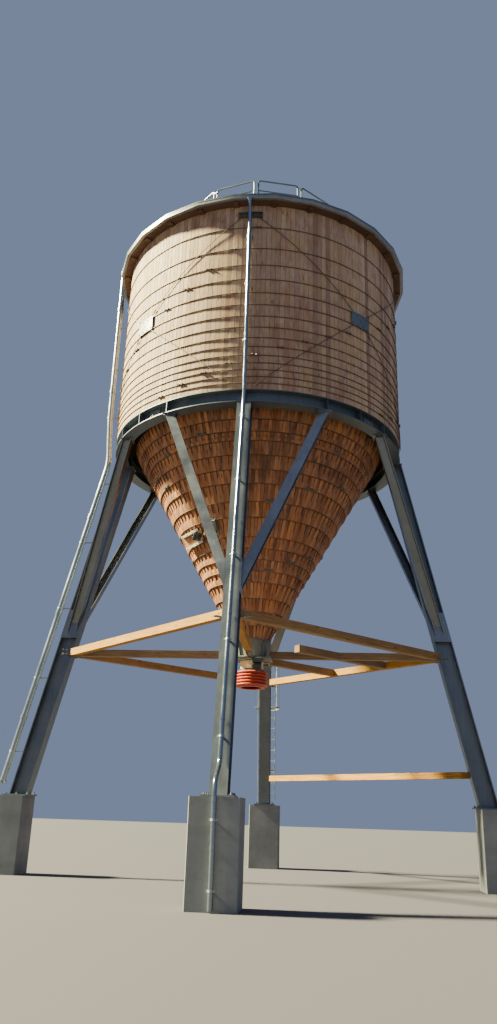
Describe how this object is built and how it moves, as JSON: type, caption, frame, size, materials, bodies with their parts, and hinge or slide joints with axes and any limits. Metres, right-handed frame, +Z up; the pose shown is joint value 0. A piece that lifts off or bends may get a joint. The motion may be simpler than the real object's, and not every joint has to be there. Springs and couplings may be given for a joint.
{
  "type": "timber-clad storage silo",
  "caption": "Round timber-clad silo with a timber hopper, on a splayed steel frame with concrete pedestals, with roof railing, ladder, pipes and loading bellows.",
  "frame": {"origin": "on the silo's upright axis at ground level, level with the undersides of the pedestals", "axes": "+Z up, +X towards the right leg, -Y towards the front leg that carries the rainwater pipe; the ladder is on the back leg at +Y"},
  "size_m": [11.66, 11.8514, 16.963],
  "materials": {
    "concrete": "cast concrete, matt",
    "frame_steel": "weathered grey coating",
    "ring_steel": "dark blue-grey paint, satin",
    "hoop_steel": "dull grey",
    "galvanised_steel": "dull zinc",
    "zinc_sheet": "dull sheet zinc",
    "outlet_steel": "grey paint, satin",
    "wall_timber": "weathered boards, matt",
    "hopper_timber": "oiled boards, matt",
    "tie_timber": "sawn timber, matt",
    "eave_timber": "dark stained boards, matt",
    "roof_felt": "grey roofing felt",
    "sleeve_cloth": "woven filter cloth",
    "bellows_cloth": "coated cloth, satin"
  },
  "bodies": {
    "root": {"pedestal_front": "concrete", "pedestal_right": "concrete", "pedestal_back": "concrete", "pedestal_left": "concrete", "leg_front": "frame_steel", "leg_right": "frame_steel", "leg_back": "frame_steel", "leg_left": "frame_steel", "strut_front_1": "frame_steel", "strut_front_2": "frame_steel", "strut_right_1": "frame_steel", "strut_right_2": "frame_steel", "strut_back_1": "frame_steel", "strut_back_2": "frame_steel", "strut_left_1": "frame_steel", "strut_left_2": "frame_steel", "tie_front_right": "tie_timber", "tie_back_right": "tie_timber", "tie_back_left": "tie_timber", "tie_front_left": "tie_timber", "low_tie": "tie_timber", "tie_middle_left": "tie_timber", "tie_middle_front": "tie_timber", "tie_middle_right": "tie_timber", "cross_beam": "tie_timber", "wall_front_right": "wall_timber", "wall_back_right": "wall_timber", "wall_back_left": "wall_timber", "wall_front_left": "wall_timber", "hoops_front_right": "hoop_steel", "hoops_back_right": "hoop_steel", "hoops_back_left": "hoop_steel", "hoops_front_left": "hoop_steel", "hopper_lower_front_right": "hopper_timber", "hopper_upper_front_right": "hopper_timber", "hopper_lower_back_right": "hopper_timber", "hopper_upper_back_right": "hopper_timber", "hopper_lower_back_left": "hopper_timber", "hopper_upper_back_left": "hopper_timber", "hopper_lower_front_left": "hopper_timber", "hopper_upper_front_left": "hopper_timber", "ring_beam": "ring_steel", "soffit": "eave_timber", "roof_deck": "roof_felt", "gutter": "zinc_sheet", "railing": "galvanised_steel", "downpipe": "zinc_sheet", "fill_pipe": "galvanised_steel", "ladder": "galvanised_steel", "ladder_cage": "galvanised_steel", "outlet_cone": "outlet_steel", "slide_gate": "outlet_steel", "vibrator": "outlet_steel", "level_sensor": "outlet_steel", "gate_drive": "outlet_steel", "dust_sleeve": "sleeve_cloth", "loading_bellows": "bellows_cloth"}
  },
  "joints": []
}
